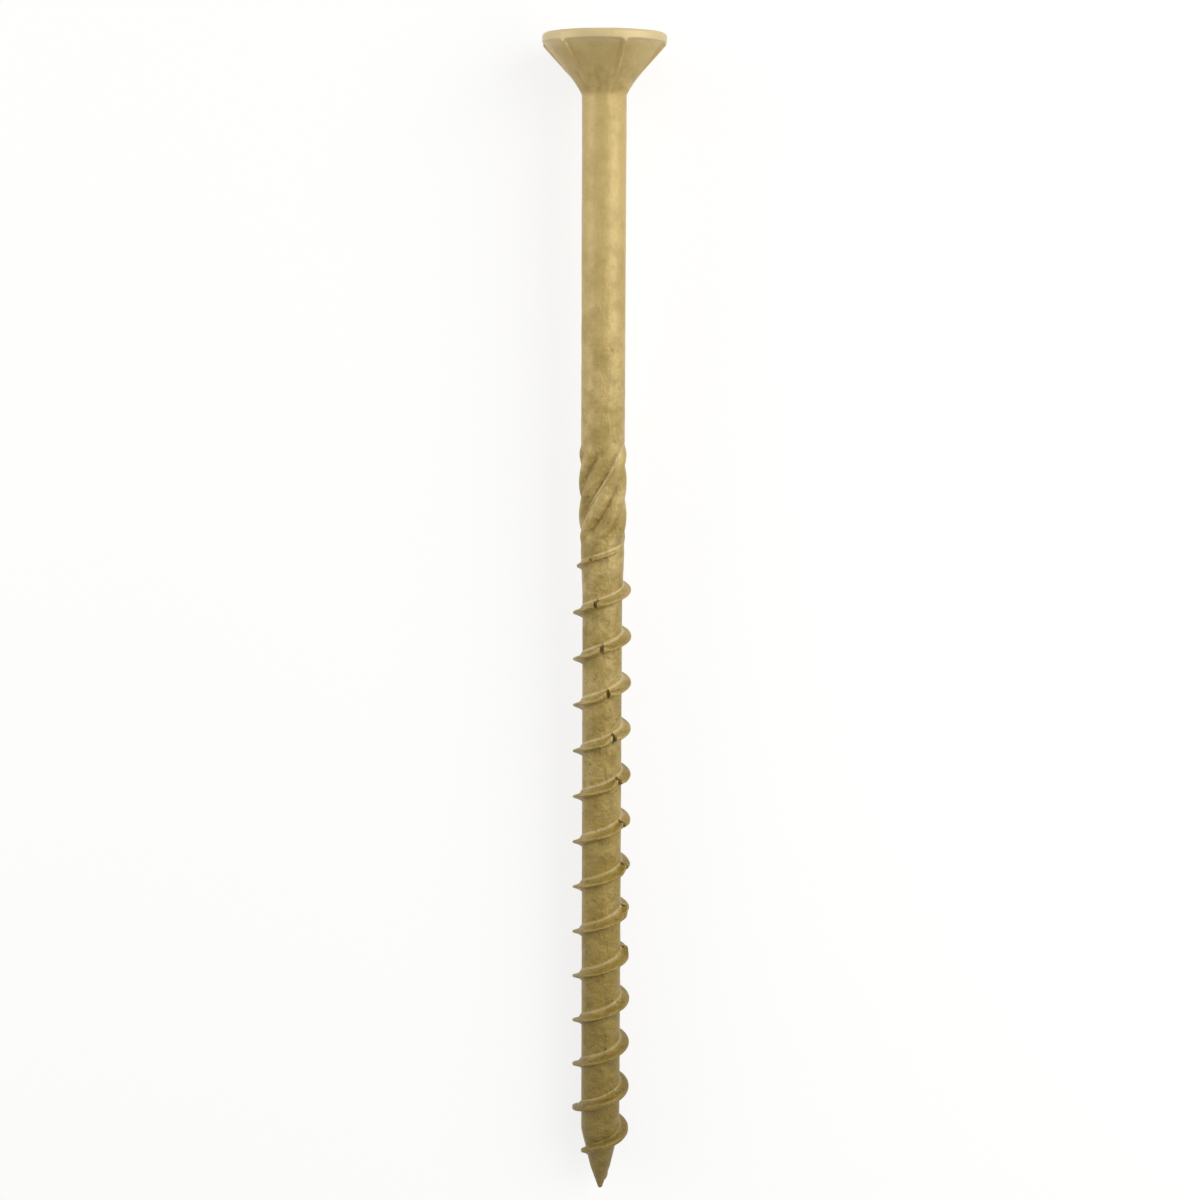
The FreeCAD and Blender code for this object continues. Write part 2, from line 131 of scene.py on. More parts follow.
class CutterSizes(bpy.types.PropertyGroup):
    """Sizes of the six-start cutter between shank and thread."""
    start: length("Start", 40.2, "Upper end of the shank cutter")
    reach: length("Length", 10.65, "Length of the shank cutter")
    starts: count("Starts", 6, "Ribs side by side round the shank")
    lead: length("Lead", 20.1, "Height that one rib climbs in a turn")
    diameter: length("Diameter", 4.84, "Across the crests of the ribs")
    valley_diameter: length("Valley diameter", 3.76, "Across the bottoms of the grooves")
    first_rib: angle("First rib", 22.0, "Angle of one groove at the upper end")
    end_run: length("End run", 1.40, "Length over which ribs and grooves grow out of the shank")
    end_scallop: length("End scallop", 0.50, "How much later a groove starts than the ribs beside it")


class ThreadSizes(bpy.types.PropertyGroup):
    """Sizes of the thread and of its notches."""
    diameter: length("Diameter", 6.0, "Across the crests")
    pitch: length("Pitch", 4.84, "From one turn to the next")
    start: length("Start", 50.80, "Height where the thread starts")
    first_turn: angle("First angle", 25.0, "Angle where the thread starts")
    first_rise: length("First rise", 0.24, "Height that the thread's crest gains at once")
    first_reach: length("First reach", 0.50, "Length over which the crest gains its first rise")
    full: length("Full height", 55.9, "Where the thread has its full height")
    taper: length("Taper start", 113.2, "Where the crest starts to come in on the point")
    end: length("End", 118.6, "Where the thread ends on the point")
    root_width: length("Root width", 0.86, "Width of the ridge at the core")
    upper_flare: factor("Upper flare", 0.35, "How much wider the foot is on the side of the head")
    notch_count: count("Notch count", 10, "Cutting notches across the thread")
    first_notch: angle("First notch", 119.5, "Running angle of the first notch")
    notch_step: angle("Notch step", 345.7, "Angle from one notch to the next")
    notch_depth: length("Notch depth", 0.86, "Depth of a notch under the crest")
    lip_rise: length("Lip rise", 0.50, "How far the lip beside a notch is pushed towards the head")
    crevice_width: length("Crevice width", 0.46, "Width of the crevice at a notch")
    crevice_height: length("Crevice height", 1.05, "Length of the crevice along the screw")
    crevice_depth: length("Crevice depth", 0.8, "Depth of the crevice towards the axis")
    crevice_sink: length("Crevice sink", 0.62, "From the crest to the middle of the crevice")
    crevice_lift: length("Crevice lift", 0.42, "How far the crevice lies towards the head")
    crevice_slant: angle("Crevice slant", 18.0, "How far the crevice leans from the way to the axis")
    built_up: factor("Built-up crest", 1.1, "How much wider the crest gets towards the point")
    built_up_start: length("Built-up start", 104.0, "Where the crest starts to get wider")
    built_up_full: length("Built-up full", 111.0, "Where the crest has got its whole extra width")


class CoatingLook(bpy.types.PropertyGroup):
    """Colours and finish of the coating, with the light and shade painted on it."""
    # The first two colours paint the coating lighter near the head and darker towards the point: painted
    # light and shade
    light: colour("Light coating", (0.585, 0.435, 0.165), "Coating near the head")
    deep: colour("Deep coating", (0.325, 0.222, 0.034), "Coating along the thread")
    pooled: colour("Pooled coating", (0.30, 0.205, 0.030), "Where the coating lies thick")
    # The stain colour serves real marks and pits, and also painted shade in hollows and towards the point
    stain_and_shade: colour("Stain", (0.075, 0.050, 0.011), "What gathers in hollows")
    # The bright edge colour serves worn edges and also a painted highlight on the rim
    edge: colour("Bright edge", (0.68, 0.56, 0.31), "Worn edges")
    metal: factor("Metal", 0.27, "Share of metal in the coating")
    roughness: factor("Roughness", 0.50, "Least roughness of the coating")
    gloss_weight: factor("Gloss weight", 0.26, "Strength of the clear top of the coating")
    gloss_roughness: factor("Gloss roughness", 0.22, "Roughness of the clear top of the coating")
    # Span of the painted shade that turns the lighter head colour into the darker point colour
    painted_falloff_start: length("Light end", 15.06, "Where the coating starts to get deeper")
    painted_falloff_full: length("Deep start", 115.06, "Where the coating has got its deep colour")
    # Span of a further painted shade that darkens the coating towards the point
    point_shade_start: length("Stain start", 80.06, "Where the stain towards the point starts")
    point_shade_full: length("Stain full", 120.06, "Where the stain towards the point is strongest")
    smooth_end: length("Smooth end", 10.06, "Where the smooth coating of the head ends")
    rough_start: length("Rough start", 60.06, "Where the coating has got fully lumpy")
    neck_mark_start: length("Neck mark start", 2.86, "Where the drips on the cone start")
    neck_mark_full: length("Neck mark full", 4.46, "Where the drips are strongest")
    neck_mark_fade: length("Neck mark fade", 5.76, "Where the drips start to fade on the neck")
    neck_mark_end: length("Neck mark end", 6.46, "Where the drips end")
    wear_start: length("Wear start", 30.06, "Where the edges are worn most")
    wear_end: length("Wear end", 110.06, "Where the edges are worn least")
    # Height of the painted highlight on the rim of the head, and where it has faded
    rim_highlight: length("Bright rim", 0.86, "Height of the bright rim of the head")
    rim_highlight_end: length("Bright rim end", 2.06, "Where the brightness of the rim has gone")


class StageLook(bpy.types.PropertyGroup):
    """Floor, lamps and camera."""
    lens: factor("Lens", 66.0, "Focal length in millimetres on a 36 mm sensor")
    camera_distance: length("Camera distance", 225.2, "From the camera to the screw")
    camera_lean: angle("Camera lean", 9.05, "How far the camera stands towards the head")
    camera_roll: angle("Camera roll", 0.22, "Turn of the picture")
    aim: length("Aim", 56.42, "Distance from the head's top to the middle of the picture")
    aside: length("Aside", 0.24, "How far the screw lies right of the middle of the picture")
    lamp_power: factor("Lamp power", 0.97, "Strength of all lamps")
    floor_glow: factor("Floor glow", 0.76, "White that the floor shows by itself")
    shadow_part: colour("Shadow part", (0.30, 0.30, 0.30), "The part of the floor that takes shadows")
    card: colour("Card", (0.86, 0.86, 0.85), "Colour of the floor as it lights the screw")
    sky_head: factor("Sky towards the head", 0.79, "Light from the side of the head")
    sky_point: factor("Sky towards the point", 0.05, "Light from the side of the point")


def sizes():
    """The property groups of the scene, one for each part of the job."""
    return bpy.context.scene


def between(value, low, high, at_low, at_high):
    """Straight-line change from at_low to at_high while value goes from low to high."""
    share = min(max((value - low) / (high - low), 0.0), 1.0)
    return at_low + share * (at_high - at_low)


def ease(value, low, high):
    """Soft change from 0 to 1 while value goes from low to high."""
    share = min(max((value - low) / (high - low), 0.0), 1.0)
    return share * share * (3.0 - 2.0 * share)


# Modelling helpers


def deselect_all():
    bpy.ops.object.select_all(action="DESELECT")


def make_active(piece):
    deselect_all()
    piece.select_set(True)
    bpy.context.view_layer.objects.active = piece


def edit(piece):
    make_active(piece)
    bpy.ops.object.mode_set(mode="EDIT")
    bpy.ops.mesh.select_mode(type="VERT")
    bpy.ops.mesh.select_all(action="SELECT")


def leave_edit():
    bpy.ops.object.mode_set(mode="OBJECT")


def draw_line(name, places):
    """A new piece in edit mode: one vertex, extruded from place to place."""
    deselect_all()
    bpy.ops.mesh.primitive_plane_add(size=MM)
    piece = bpy.context.object
    piece.name = name
    piece.data.name = name
    edit(piece)
    bpy.ops.mesh.merge(type="CENTER")
    bpy.ops.transform.translate(value=places[0])
    for start, end in zip(places, places[1:]):
        bpy.ops.mesh.extrude_vertices_move(TRANSFORM_OT_translate={"value": end - start})
    bpy.ops.mesh.select_all(action="SELECT")
    return piece


def close_line(piece):
    """Joins the last vertex of a drawn line to the first."""
    bpy.ops.mesh.select_all(action="DESELECT")
    leave_edit()
    vertices = piece.data.vertices
    for index in (0, len(vertices) - 1):
        vertices[index].select = True
    bpy.ops.object.mode_set(mode="EDIT")
    bpy.ops.mesh.edge_face_add()
    bpy.ops.mesh.select_all(action="SELECT")


def heal(piece):
    """Welds doubles, closes open ends and turns all faces outwards. Leaves edit mode."""
    bpy.ops.mesh.select_all(action="SELECT")
    bpy.ops.mesh.remove_doubles(threshold=WELD)
    bpy.ops.mesh.fill_holes(sides=0)
    bpy.ops.mesh.select_all(action="SELECT")
    bpy.ops.mesh.normals_make_consistent(inside=False)
    leave_edit()


def apply_modifier(piece, kind, **settings):
    """Adds one modifier, sets it and applies it."""
    make_active(piece)
    bpy.ops.object.modifier_add(type=kind)
    modifier = piece.modifiers[-1]
    for name, value in settings.items():
        setattr(modifier, name, value)
    bpy.ops.object.modifier_apply(modifier=modifier.name)


def combine(piece, other, operation):
    """Joins the other piece to this one, or cuts it away, and deletes the other."""
    apply_modifier(piece, "BOOLEAN", operation=operation, object=other, solver="MANIFOLD")
    make_active(other)
    bpy.ops.object.delete()


def spread(start, end, step):
    """Places from start towards end, about a step apart, without the end."""
    steps = max(round((end - start).length / step), 1)
    return [start.lerp(end, index / steps) for index in range(steps)]


def arc(centre, radius, first, last, steps):
    """Places on an arc in the section plane, from one angle in degrees to another."""
    places = []
    for index in range(steps + 1):
        turn = math.radians(first + (last - first) * index / steps)
        places.append(centre + Vector((radius * math.cos(turn), 0.0, radius * math.sin(turn))))
    return places


def section_place(radius, z):
    return Vector((radius, 0.0, z))


# The turned blank

TURNED_STEPS = 120
RING_STEP = 0.36 * MM
TOP_STEP = 1.2 * MM
CONE_STEP = 0.2 * MM
RIM_EDGE_STEP = 0.06 * MM
RIM_EDGE_SHARE = 0.18       # share of the cone, beside the rim, that has the finer step
BED_CLEARANCE = 0.05 * MM   # how far the narrowed blank lies under the grooves of the cutter
LAST_RING = 0.2 * MM        # how far the last ring stays from the rounded tip


def cone_radius(z):
    """Radius of the cone under the head, at the crest of the ribs."""
    blank = sizes().screw_blank
    return blank.head_diameter / 2 - (z - blank.rim_thickness) * math.tan(blank.countersink_angle / 2)


def cone_height(radius):
    """Height z at which the cone under the head has a radius."""
    blank = sizes().screw_blank
    return blank.rim_thickness + (blank.head_diameter / 2 - radius) / math.tan(blank.countersink_angle / 2)


def head_section():
    """Half section of the head, from the middle of its flat top to the end of the neck."""
    blank = sizes().screw_blank
    rim = blank.head_diameter / 2
    upper = blank.rim_rounding
    lower = blank.rim_lower_rounding
    half_cone = math.degrees(blank.countersink_angle / 2)
    places = spread(section_place(0.0, 0.0), section_place(rim - upper, 0.0), TOP_STEP)
    places += arc(section_place(rim - upper, upper), upper, -90.0, 0.0, 5)
    corner = lower * math.tan(math.radians(half_cone / 2))
    rim_end = arc(section_place(rim - lower, blank.rim_thickness - corner), lower, 0.0, half_cone, 4)
    places += spread(places[-1], rim_end[0], RIM_EDGE_STEP)[1:]
    places += rim_end
    cone_end_radius = blank.cone_end_diameter / 2
    cone_end = section_place(cone_end_radius, cone_height(cone_end_radius))
    rim_side = places[-1].lerp(cone_end, RIM_EDGE_SHARE)
    places += spread(places[-1], rim_side, RIM_EDGE_STEP)[1:]
    places += spread(rim_side, cone_end, CONE_STEP)
    neck_width = cone_end_radius - blank.shank_diameter / 2
    neck_lean = math.acos(math.cos(blank.countersink_angle / 2) + neck_width / blank.neck_radius)
    lean = blank.countersink_angle / 2
    neck_middle = cone_end + Vector((math.cos(lean), 0.0, math.sin(lean))) * blank.neck_radius
    places += arc(neck_middle, blank.neck_radius, 180.0 + half_cone, 180.0 + math.degrees(neck_lean), 8)
    return places


def surface_radius(z):
    """Radius of the blank at a height below the shank."""
    blank = sizes().screw_blank
    shank, core = blank.shank_diameter / 2, blank.core_diameter / 2
    shoulder, tip = blank.point_shoulder_diameter / 2, blank.point_tip_diameter / 2
    if z < blank.point_start:
        return between(z, blank.core_start, blank.core_full, shank, core)
    if z < blank.point_shoulder:
        return between(z, blank.point_start, blank.point_shoulder, core, shoulder)
    return between(z, blank.point_shoulder, blank.overall_length - tip, shoulder, tip)


def cutter_bed(z):
    """How far the blank is narrowed at a height, so that the grooves of the cutter stay open."""
    cutter = sizes().screw_cutter
    depth = sizes().screw_blank.shank_diameter / 2 - cutter.valley_diameter / 2 + BED_CLEARANCE
    from_end = min(z - cutter.start, cutter.start + cutter.reach - z)
    return depth * ease(from_end, 0.0, cutter.end_run)


def blank_section():
    """Half section of the whole blank."""
    blank = sizes().screw_blank
    tip = blank.point_tip_diameter / 2
    places = head_section()
    z = places[-1].z + RING_STEP
    while z < blank.overall_length - tip - LAST_RING:
        places.append(section_place(surface_radius(z) - cutter_bed(z), z))
        z += RING_STEP
    places += arc(section_place(0.0, blank.overall_length - tip), tip, 0.0, 90.0, 5)
    return places


class SCREW_OT_blank(bpy.types.Operator):
    """Turns the blank: head, neck, shank, core and point"""
    bl_idname = "screw.blank"
    bl_label = "Blank"

    def execute(self, context):
        blank = draw_line("blank", blank_section())
        bpy.ops.mesh.spin(
            steps=TURNED_STEPS, angle=FULL_TURN, center=(0.0, 0.0, 0.0), axis=(0.0, 0.0, 1.0),
            use_auto_merge=True)
        heal(blank)
        return {"FINISHED"}


# Pockets and drive recess

# Distances of the first lines of the mesh from the middle of a rib, on each side
RIB_LINES = (0.0, 0.08 * MM, 0.145 * MM, 0.20 * MM, 0.26 * MM, 0.35 * MM)
RECESS_CONE_DEPTH = 0.22    # height of the recess's cone bottom, as a share of its valley circle
RECESS_CONE_END = 0.15      # width of that cone at its end, as a share of its start


def rib_line_angle(steps_away, radius, half_sector):
    """Angle from a rib's middle to a line of the mesh, which is close to the next one at the rib."""
    last = len(RIB_LINES) - 1
    lines = TURNED_STEPS // sizes().screw_head_cuts.rib_count // 2
    if steps_away <= last:
        return RIB_LINES[steps_away] / radius
    return between(steps_away, last, lines, RIB_LINES[last] / radius, half_sector)


def pocket_share(width, height):
    """How far a place in a pocket has sunk to its floor, from its distance to the rib and to the rim."""
    cuts = sizes().screw_head_cuts
    corner = cuts.pocket_corner
    inside = min(width, height)
    if width < corner and height < corner:
        inside = corner - math.hypot(corner - width, corner - height)
    return ease(inside, -cuts.pocket_wall / 2, cuts.pocket_wall / 2)


def press_pockets(piece):
    """Sinks the pockets between the milling ribs into the cone, and lets them run out in the neck."""
    cuts = sizes().screw_head_cuts
    half_sector = math.pi / cuts.rib_count
    first_rib = cuts.first_pocket - half_sector
    floor_start = cone_radius(cuts.pocket_top) - cuts.pocket_depth
    for vertex in piece.data.vertices:
        radius = math.hypot(vertex.co.x, vertex.co.y)
        z = vertex.co.z
        if z > cuts.pocket_end or radius < sizes().screw_blank.shank_diameter / 4:
            continue
        turn = math.atan2(vertex.co.y, vertex.co.x)
        rib = round(turn / (2 * half_sector))
        steps_away = round((turn - 2 * half_sector * rib) / FULL_TURN * TURNED_STEPS)
        away = rib_line_angle(abs(steps_away), radius, half_sector)
        turn = first_rib + 2 * half_sector * rib + math.copysign(away, steps_away)
        sunk = pocket_share(radius * away - cuts.rib_width / 2, z - cuts.pocket_top)
        sunk *= 1.0 - ease(z, cuts.pocket_fade, cuts.pocket_end)
        floor = floor_start - cuts.pocket_lean * (z - cuts.pocket_top)
        radius -= sunk * max(radius - floor, 0.0)
        vertex.co = polar_place(radius, turn, z)


def lobed_outline():
    """Outline of the drive recess: a round lobe and a round valley in turn."""
    cuts = sizes().screw_head_cuts
    half_step = math.pi / cuts.lobe_count
    valley = cuts.valley_circle / 2
    lobe_place = cuts.lobe_circle / 2 - cuts.lobe_radius
    reach = lobe_place * math.cos(half_step)
    valley_radius = (
        (cuts.lobe_radius ** 2 - lobe_place ** 2 - valley ** 2 + 2 * valley * reach)
        / (2 * (valley - reach - cuts.lobe_radius)))
    places = []
    for lobe in range(cuts.lobe_count):
        direction = 2 * half_step * lobe
        lobe_centre = Vector((math.cos(direction), math.sin(direction), 0.0)) * lobe_place
        gap = direction + half_step
        valley_centre = Vector((math.cos(gap), math.sin(gap), 0.0)) * (valley + valley_radius)
        touch = valley_centre - lobe_centre
        half_lobe = (math.atan2(touch.y, touch.x) - direction) % FULL_TURN
        for index in range(-4, 5):
            turn = direction + half_lobe * index / 4
            places.append(lobe_centre + Vector((math.cos(turn), math.sin(turn), 0.0)) * cuts.lobe_radius)
        half_valley = math.atan2(-touch.y, -touch.x) - (gap + math.pi)
        half_valley = (half_valley + math.pi) % FULL_TURN - math.pi
        for index in range(3, -4, -1):
            turn = gap + math.pi + half_valley * index / 4
            places.append(valley_centre + Vector((math.cos(turn), math.sin(turn), 0.0)) * valley_radius)
    return places


def recess_cutter():
    """The shape that the drive recess takes out of the head, with a bevelled mouth and a cone bottom."""
    cuts = sizes().screw_head_cuts
    chamfer = cuts.recess_chamfer
    mouth = 1.0 + 2 * chamfer / cuts.lobe_circle
    piece = draw_line("recess", lobed_outline())
    close_line(piece)
    bpy.ops.mesh.edge_face_add()
    bpy.ops.transform.resize(value=(mouth, mouth, 1.0), center_override=(0.0, 0.0, 0.0))
    bpy.ops.transform.translate(value=(0.0, 0.0, -chamfer))
    steps = (
        (chamfer, 1.0),
        (chamfer, 1.0 / mouth),
        (cuts.recess_depth - chamfer, 1.0),
        (cuts.valley_circle * RECESS_CONE_DEPTH, RECESS_CONE_END),
    )
    for depth, scale in steps:
        bpy.ops.mesh.extrude_region_move(TRANSFORM_OT_translate={"value": (0.0, 0.0, depth)})
        bpy.ops.transform.resize(value=(scale, scale, 1.0), center_override=(0.0, 0.0, 0.0))
    heal(piece)
    return piece


class SCREW_OT_head_cuts(bpy.types.Operator):
    """Cuts the pockets between the milling ribs, and the drive recess"""
    bl_idname = "screw.head_cuts"
    bl_label = "Pockets and recess"

    def execute(self, context):
        blank = bpy.data.objects["blank"]
        press_pockets(blank)
        combine(blank, recess_cutter(), "DIFFERENCE")
        return {"FINISHED"}


# Helical ridges


def sweep(name, outline, turn, climb, steps):
    """Sweeps a closed outline about the axis while it climbs, and returns the open tube."""
    piece = draw_line(name, outline)
    close_line(piece)
    leave_edit()
    apply_modifier(
        piece, "SCREW", axis="Z", angle=turn, screw_offset=climb, steps=steps, render_steps=steps,
        use_normal_calculate=True)
    return piece


def move_rings(piece, ring_size, place):
    """Moves each vertex of a swept tube to the place for its ring and its number in the ring."""
    for vertex in piece.data.vertices:
        ring, index = divmod(vertex.index, ring_size)
        vertex.co = place(ring, index)


def polar_place(radius, turn, z):
    return Vector((radius * math.cos(turn), radius * math.sin(turn), z))


# Section of a cutter rib: share of the way from groove to groove, share of the height
RIB_PROFILE = (
    (0.00, 0.00), (0.05, 0.14), (0.11, 0.31), (0.18, 0.49), (0.26, 0.66), (0.34, 0.79), (0.43, 0.90),
    (0.52, 0.97), (0.59, 1.00), (0.66, 0.98), (0.72, 0.91), (0.78, 0.78), (0.84, 0.58), (0.90, 0.33),
    (0.96, 0.11),
)
RIB_MIDDLE = 0.5
CUTTER_STEPS = 84


class SCREW_OT_cutter(bpy.types.Operator):
    """Rolls the six-start shank cutter"""
    bl_idname = "screw.cutter"
    bl_label = "Shank cutter"

    def execute(self, context):
        cutter = sizes().screw_cutter
        valley, crest = cutter.valley_diameter / 2, cutter.diameter / 2
        shank = sizes().screw_blank.shank_diameter / 2
        hidden = 0.02 * MM
        ring = []
        late = []
        for start in range(cutter.starts):
            for share, height in RIB_PROFILE:
                turn = -FULL_TURN * (start + share) / cutter.starts
                ring.append((valley + height * (crest - valley), turn))
                late.append(cutter.end_scallop * (2 * (share - RIB_MIDDLE)) ** 2)
        turn = FULL_TURN * cutter.reach / cutter.lead
        outline = [polar_place(radius, angle, cutter.start) for radius, angle in ring]
        piece = sweep("shank_cutter", outline, turn, cutter.reach, CUTTER_STEPS)

        def place(step, index):
            share = step / CUTTER_STEPS
            from_end = min(share, 1.0 - share) * cutter.reach
            radius, angle = ring[index]
            grown = ease(from_end - late[index], 0.0, cutter.end_run)
            radius = shank + (radius - shank) * grown - hidden * (1.0 - grown)
            angle += cutter.first_rib + turn * share
            return polar_place(radius, angle, cutter.start + cutter.reach * share)

        move_rings(piece, len(ring), place)
        edit(piece)
        heal(piece)
        return {"FINISHED"}


# Half section of the thread: share of its height above the core, share of the root's half width
THREAD_PROFILE = (
    (1.000, 0.08), (0.975, 0.21), (0.93, 0.29), (0.84, 0.37), (0.66, 0.50), (0.46, 0.64), (0.28, 0.80),
    (0.14, 0.96), (0.05, 1.16), (-0.02, 1.40), (-0.60, 1.45),
)
FOOT_TOP = 0.30         # share of the thread's height under which its foot is wider towards the head
LEAST_BREADTH = 0.45    # breadth of the thread where it has no height, as a share of its full breadth
RUN_OUT_CURVE = 1.25    # how late the crest comes in on the point
LIP_CURVE = 0.7         # how low on the thread the lips start to lean
LOWER_LIP = 0.25        # how much the flank towards the point follows its lip
LIP_SINK = 0.16         # how much of its height the thread loses at a lip

# Degrees from the middle of a notch
NOTCH_FLOOR, NOTCH_EDGE = 2.4, 4.6
LIP_START, LIP_TOP, LIP_FALL = 1.8, 4.8, 6.0
LIP_END_AFTER, LIP_END_BEFORE = 26.0, 20.0
LIP_BEFORE = 0.55       # push of the lip before the notch, as a share of the one after it
FINE_STEP, LIP_STEP, COARSE_STEP = 0.8, 2.0, 4.0


def thread_height(turn):
    """Height z of the middle of the thread at an angle that runs on from turn to turn."""
    thread = sizes().screw_thread
    return thread.start + thread.pitch * (turn - thread.first_turn) / FULL_TURN


def thread_turn(z):
    """The running angle at which the middle of the thread reaches a height."""
    thread = sizes().screw_thread
    return thread.first_turn + FULL_TURN * (z - thread.start) / thread.pitch


def crest_radius(z):
    """Radius of the crest, which rises out of the shank and runs out on the point."""
    thread = sizes().screw_thread
    full = thread.diameter / 2
    hidden = 0.1 * MM
    first_end = thread.start + thread.first_reach
    if z < first_end:
        return surface_radius(z) - hidden + (hidden + thread.first_rise) * ease(z, thread.start, first_end)
    if z < thread.taper:
        return between(z, first_end, thread.full, surface_radius(first_end) + thread.first_rise, full)
    share = between(z, thread.taper, thread.end, 0.0, 1.0)
    return full + (surface_radius(thread.end) - hidden - full) * share ** RUN_OUT_CURVE


def from_notch(turn):
    """Degrees from the nearest notch to a running angle."""
    thread = sizes().screw_thread
    nearest = round((turn - thread.first_notch) / thread.notch_step)
    nearest = min(max(nearest, 0), thread.notch_count - 1)
    return math.degrees(turn - thread.first_notch - nearest * thread.notch_step)


def notch_effect(turn):
    """How deep a notch cuts at a running angle, and how far the lip is pushed there, both from 0 to 1."""
    away = from_notch(turn)
    cut = 1.0 - ease(abs(away), NOTCH_FLOOR, NOTCH_EDGE)
    start = ease(abs(away), LIP_START, LIP_TOP)
    if away > 0.0:
        return cut, start * (1.0 - ease(away, LIP_FALL, LIP_END_AFTER))
    return cut, LIP_BEFORE * start * (1.0 - ease(-away, LIP_FALL, LIP_END_BEFORE))


def section_step(turn):
    """Angle from one section of the thread to the next, at a running angle."""
    away = abs(from_notch(turn))
    if away < LIP_FALL:
        return math.radians(FINE_STEP)
    if away < LIP_END_AFTER + 1.0:
        return math.radians(LIP_STEP)
    return math.radians(COARSE_STEP)


def thread_turns():
    """Running angles of the thread's sections, which stand closer at the notches."""
    thread = sizes().screw_thread
    turn, last = thread.first_turn, thread_turn(thread.end)
    turns = []
    while turn < last:
        turns.append(turn)
        turn += section_step(turn)
    turns.append(last)
    return turns


class SCREW_OT_thread(bpy.types.Operator):
    """Rolls the notched thread"""
    bl_idname = "screw.thread"
    bl_label = "Thread"

    def execute(self, context):
        thread = sizes().screw_thread
        half_root = thread.root_width / 2
        sink = 0.5 * MM
        full_height = thread.diameter / 2 - sizes().screw_blank.core_diameter / 2
        upper_side = [
            (height, -width * between(height, FOOT_TOP, 0.0, 1.0, 1.0 + thread.upper_flare))
            for height, width in reversed(THREAD_PROFILE)
        ]
        ring = upper_side + list(THREAD_PROFILE)
        turns = thread_turns()
        outline = [
            polar_place(thread.diameter / 2 + height * full_height, 0.0, width * half_root)
            for height, width in ring
        ]
        piece = sweep("thread", outline, turns[-1] - turns[0], thread.end - thread.start, len(turns) - 1)

        def place(step, index):
            turn = turns[step]
            z = thread_height(turn)
            core = surface_radius(z)
            rise = crest_radius(z) - core
            cut, push = notch_effect(turn)
            share = max(rise / full_height, 0.1)
            rise -= cut * thread.notch_depth * share
            rise *= 1.0 - LIP_SINK * push
            height, width = ring[index]
            radius = core + height * (rise if height > 0.0 else sink)
            lift = push * thread.lip_rise * share * max(height, 0.0) ** LIP_CURVE
            if width > 0.0:
                lift *= LOWER_LIP
            near_point = ease(z, thread.built_up_start, thread.built_up_full)
            built_up = 1.0 + thread.built_up * max(height, 0.0) * near_point
            breadth = (LEAST_BREADTH + (1.0 - LEAST_BREADTH) * share) * half_root * built_up
            return polar_place(radius, turn, z + width * breadth - lift)

        move_rings(piece, len(ring), place)
        edit(piece)
        heal(piece)
        return {"FINISHED"}


def crevices():
    """Thin lens shapes, one for each notch, that cut it down into the core on the side of the head."""
    thread = sizes().screw_thread
    made = []
    for index in range(1, thread.notch_count):
        turn = thread.first_notch + index * thread.notch_step
        z = thread_height(turn) - thread.crevice_lift
        place = polar_place(thread.diameter / 2 - thread.crevice_sink, turn, z)
        deselect_all()
        bpy.ops.mesh.primitive_uv_sphere_add(segments=20, ring_count=12, radius=1.0)
        lens = bpy.context.object
        lens.scale = (thread.crevice_depth / 2, thread.crevice_width / 2, thread.crevice_height / 2)
        lens.rotation_euler = (0.0, 0.0, turn + thread.crevice_slant)
        lens.location = place
        bpy.ops.object.transform_apply(location=True, rotation=True, scale=True)
        made.append(lens)
    deselect_all()
    for lens in made:
        lens.select_set(True)
    bpy.context.view_layer.objects.active = made[0]
    bpy.ops.object.join()
    return made[0]


# Joining, placing and finishing

RIM_BEVEL = 0.25 * MM       # bevel of the solid's rim, on which it rests
SMOOTH_ANGLE = math.radians(38.0)

# Name, size and height of the lumps in the coating
SKIN_LUMPS = (
    ("broad_lumps", 2.2 * MM, 0.035 * MM),
    ("small_lumps", 0.8 * MM, 0.025 * MM),
)


def resting_place():
    """The matrix that lays the upright screw on its rim and on its lowest full crest, where the node is."""
    blank = sizes().screw_blank
    thread = sizes().screw_thread
    rim, crest = blank.head_diameter / 2, thread.diameter / 2
    rim_contact = sizes().screw_head_cuts.pocket_top
    under_side = math.radians(270.0)
    turns_down = math.floor((thread_turn(thread.taper) - under_side) / FULL_TURN)
    crest_contact = thread_height(under_side + FULL_TURN * turns_down)
    tilt = math.atan2(rim - crest, crest_contact - rim_contact)
    turn = Matrix.Rotation(math.radians(90.0) + tilt, 4, "X")
    lowest = (turn @ Vector((0.0, -rim, rim_contact))).z
    head_corner = (turn @ Vector((0.0, -(rim - RIM_BEVEL), 0.0))).y
    return Matrix.Translation(Vector((0.0, NODE_BOX[1].y - head_corner, -lowest))) @ turn


def lay_down(piece):
    """Lays a piece in the place of the node that it stands for."""
    make_active(piece)
    piece.matrix_world = resting_place()
    bpy.ops.object.transform_apply(location=True, rotation=True, scale=True)


def roughen(piece):
    """Gives the skin the slightly lumpy form of a dipped coating."""
    for name, grain, height in SKIN_LUMPS:
        texture = bpy.data.textures.new(name, "CLOUDS")
        texture.noise_scale = grain
        texture.noise_depth = 2
        apply_modifier(
            piece, "DISPLACE", texture=texture, texture_coords="LOCAL", strength=height, mid_level=0.5)


